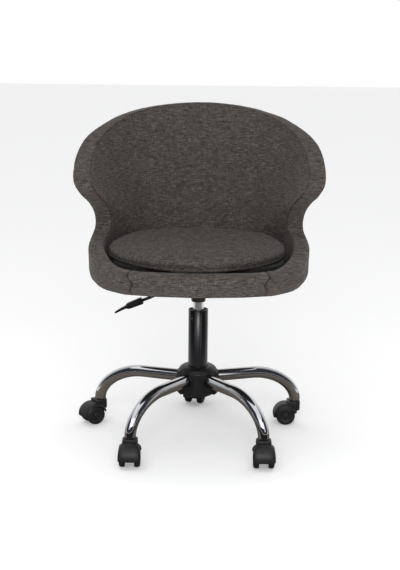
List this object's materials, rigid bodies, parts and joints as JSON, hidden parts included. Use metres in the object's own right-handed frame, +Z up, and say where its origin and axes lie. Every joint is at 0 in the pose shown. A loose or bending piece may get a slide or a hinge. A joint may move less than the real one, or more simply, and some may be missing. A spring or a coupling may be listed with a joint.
{
  "type": "adjustable swivel stool",
  "caption": "Low swivel seat with a winged upholstered tub back, loose round cushion, gas-lift column with side lever, and a bent-tube star base on hooded casters.",
  "frame": {"origin": "on the swivel axis at floor level", "axes": "+Z up along the swivel axis, -Y towards the seat's open front, +X to the sitter's left"},
  "size_m": [0.6338, 0.5637, 0.839],
  "materials": {
    "black_plastic": "moulded, fine grain",
    "caster_plastic": "moulded, fine grain",
    "wheel_plastic": "moulded, slightly worn",
    "chrome": "polished",
    "column_paint": "satin black",
    "bush_plastic": "plain",
    "steel": "plain zinc",
    "brass_cage": "plain",
    "rubber": "plain",
    "black_paint": "satin black",
    "plywood": "raw birch plywood",
    "lining": "thin non-woven",
    "fabric_shell": "woven melange with horizontal slubs",
    "fabric_cushion": "woven melange",
    "fabric_deck": "woven melange"
  },
  "bodies": {
    "base": {"base_hub": "black_plastic", "leg_1": "chrome", "leg_2": "chrome", "leg_3": "chrome", "leg_4": "chrome", "leg_5": "chrome", "caster_socket_1": "chrome", "caster_socket_2": "chrome", "caster_socket_3": "chrome", "caster_socket_4": "chrome", "caster_socket_5": "chrome", "caster_stem_1": "steel", "caster_stem_2": "steel", "caster_stem_3": "steel", "caster_stem_4": "steel", "caster_stem_5": "steel", "column_tube": "column_paint", "guide_bush": "bush_plastic", "thrust_race_lower": "steel", "ball_cage": "brass_cage"},
    "spindle": {"piston_rod": "chrome", "thrust_race_upper": "steel", "retaining_clip": "steel", "rubber_bumper": "rubber"},
    "seat": {"gas_cylinder": "chrome", "mechanism_plate": "black_paint", "mounting_bolt_1": "steel", "mounting_bolt_2": "steel", "mounting_bolt_3": "steel", "mounting_bolt_4": "steel", "seat_board": "plywood", "dust_cover": "lining", "shell_frame": "plywood", "shell_upholstery": "fabric_shell", "seat_pad": "fabric_deck", "seat_cushion": "fabric_cushion"},
    "lever": {"lever_rod": "black_paint", "lever_handle": "black_plastic"},
    "valve": {"release_pin": "steel"},
    "caster_1": {"caster_hood_1": "caster_plastic", "caster_axle_1": "steel"},
    "caster_2": {"caster_hood_2": "caster_plastic", "caster_axle_2": "steel"},
    "caster_3": {"caster_hood_3": "caster_plastic", "caster_axle_3": "steel"},
    "caster_4": {"caster_hood_4": "caster_plastic", "caster_axle_4": "steel"},
    "caster_5": {"caster_hood_5": "caster_plastic", "caster_axle_5": "steel"},
    "wheel_left_1": {"caster_wheel_left_1": "wheel_plastic"},
    "wheel_right_1": {"caster_wheel_right_1": "wheel_plastic"},
    "wheel_left_2": {"caster_wheel_left_2": "wheel_plastic"},
    "wheel_right_2": {"caster_wheel_right_2": "wheel_plastic"},
    "wheel_left_3": {"caster_wheel_left_3": "wheel_plastic"},
    "wheel_right_3": {"caster_wheel_right_3": "wheel_plastic"},
    "wheel_left_4": {"caster_wheel_left_4": "wheel_plastic"},
    "wheel_right_4": {"caster_wheel_right_4": "wheel_plastic"},
    "wheel_left_5": {"caster_wheel_left_5": "wheel_plastic"},
    "wheel_right_5": {"caster_wheel_right_5": "wheel_plastic"}
  },
  "joints": [
    {"name": "seat_swivel", "type": "hinge", "parent": "base", "child": "spindle", "pos_m": [0, 0, 0.11], "axis": [0, 0, 1], "continuous": true},
    {"name": "seat_lift", "type": "slide", "parent": "spindle", "child": "seat", "axis": [0, 0, 1], "range_m": [0, 0.1]},
    {"name": "height_lever", "type": "hinge", "parent": "seat", "child": "lever", "pos_m": [-0.032, 0, 0.4], "axis": [0, 1, 0], "range_deg": [0, 7], "stiffness_Nm_per_rad": 3, "springref_deg": -17.19},
    {"name": "valve_press", "type": "slide", "parent": "seat", "child": "valve", "axis": [0, 0, -1], "range_m": [0, 0.004]},
    {"name": "caster_swivel_1", "type": "hinge", "parent": "base", "child": "caster_1", "pos_m": [0.16017, -0.22046, 0.0635], "axis": [0, 0, 1], "continuous": true},
    {"name": "wheel_spin_left_1", "type": "hinge", "parent": "caster_1", "child": "wheel_left_1", "pos_m": [0.16017, -0.24446, 0.025], "axis": [1, 0, 0], "continuous": true},
    {"name": "wheel_spin_right_1", "type": "hinge", "parent": "caster_1", "child": "wheel_right_1", "pos_m": [0.16017, -0.24446, 0.025], "axis": [1, 0, 0], "continuous": true},
    {"name": "caster_swivel_2", "type": "hinge", "parent": "base", "child": "caster_2", "pos_m": [0.25916, 0.08421, 0.0635], "axis": [0, 0, 1], "continuous": true},
    {"name": "wheel_spin_left_2", "type": "hinge", "parent": "caster_2", "child": "wheel_left_2", "pos_m": [0.23516, 0.08421, 0.025], "axis": [0, -1, 0], "continuous": true},
    {"name": "wheel_spin_right_2", "type": "hinge", "parent": "caster_2", "child": "wheel_right_2", "pos_m": [0.23516, 0.08421, 0.025], "axis": [0, -1, 0], "continuous": true},
    {"name": "caster_swivel_3", "type": "hinge", "parent": "base", "child": "caster_3", "pos_m": [0, 0.2725, 0.0635], "axis": [0, 0, 1], "continuous": true},
    {"name": "wheel_spin_left_3", "type": "hinge", "parent": "caster_3", "child": "wheel_left_3", "pos_m": [-0.00742, 0.24968, 0.025], "axis": [0.9511, -0.309, 0], "continuous": true},
    {"name": "wheel_spin_right_3", "type": "hinge", "parent": "caster_3", "child": "wheel_right_3", "pos_m": [-0.00742, 0.24968, 0.025], "axis": [0.9511, -0.309, 0], "continuous": true},
    {"name": "caster_swivel_4", "type": "hinge", "parent": "base", "child": "caster_4", "pos_m": [-0.25916, 0.08421, 0.0635], "axis": [0, 0, 1], "continuous": true},
    {"name": "wheel_spin_left_4", "type": "hinge", "parent": "caster_4", "child": "wheel_left_4", "pos_m": [-0.27882, 0.07044, 0.025], "axis": [0.5736, -0.8192, 0], "continuous": true},
    {"name": "wheel_spin_right_4", "type": "hinge", "parent": "caster_4", "child": "wheel_right_4", "pos_m": [-0.27882, 0.07044, 0.025], "axis": [0.5736, -0.8192, 0], "continuous": true},
    {"name": "caster_swivel_5", "type": "hinge", "parent": "base", "child": "caster_5", "pos_m": [-0.16017, -0.22046, 0.0635], "axis": [0, 0, 1], "continuous": true},
    {"name": "wheel_spin_left_5", "type": "hinge", "parent": "caster_5", "child": "wheel_left_5", "pos_m": [-0.16017, -0.24446, 0.025], "axis": [1, 0, 0], "continuous": true},
    {"name": "wheel_spin_right_5", "type": "hinge", "parent": "caster_5", "child": "wheel_right_5", "pos_m": [-0.16017, -0.24446, 0.025], "axis": [1, 0, 0], "continuous": true}
  ],
  "couplings": [
    {"joint": "valve_press", "follows": "height_lever", "m_per_rad": 0.032}
  ]
}
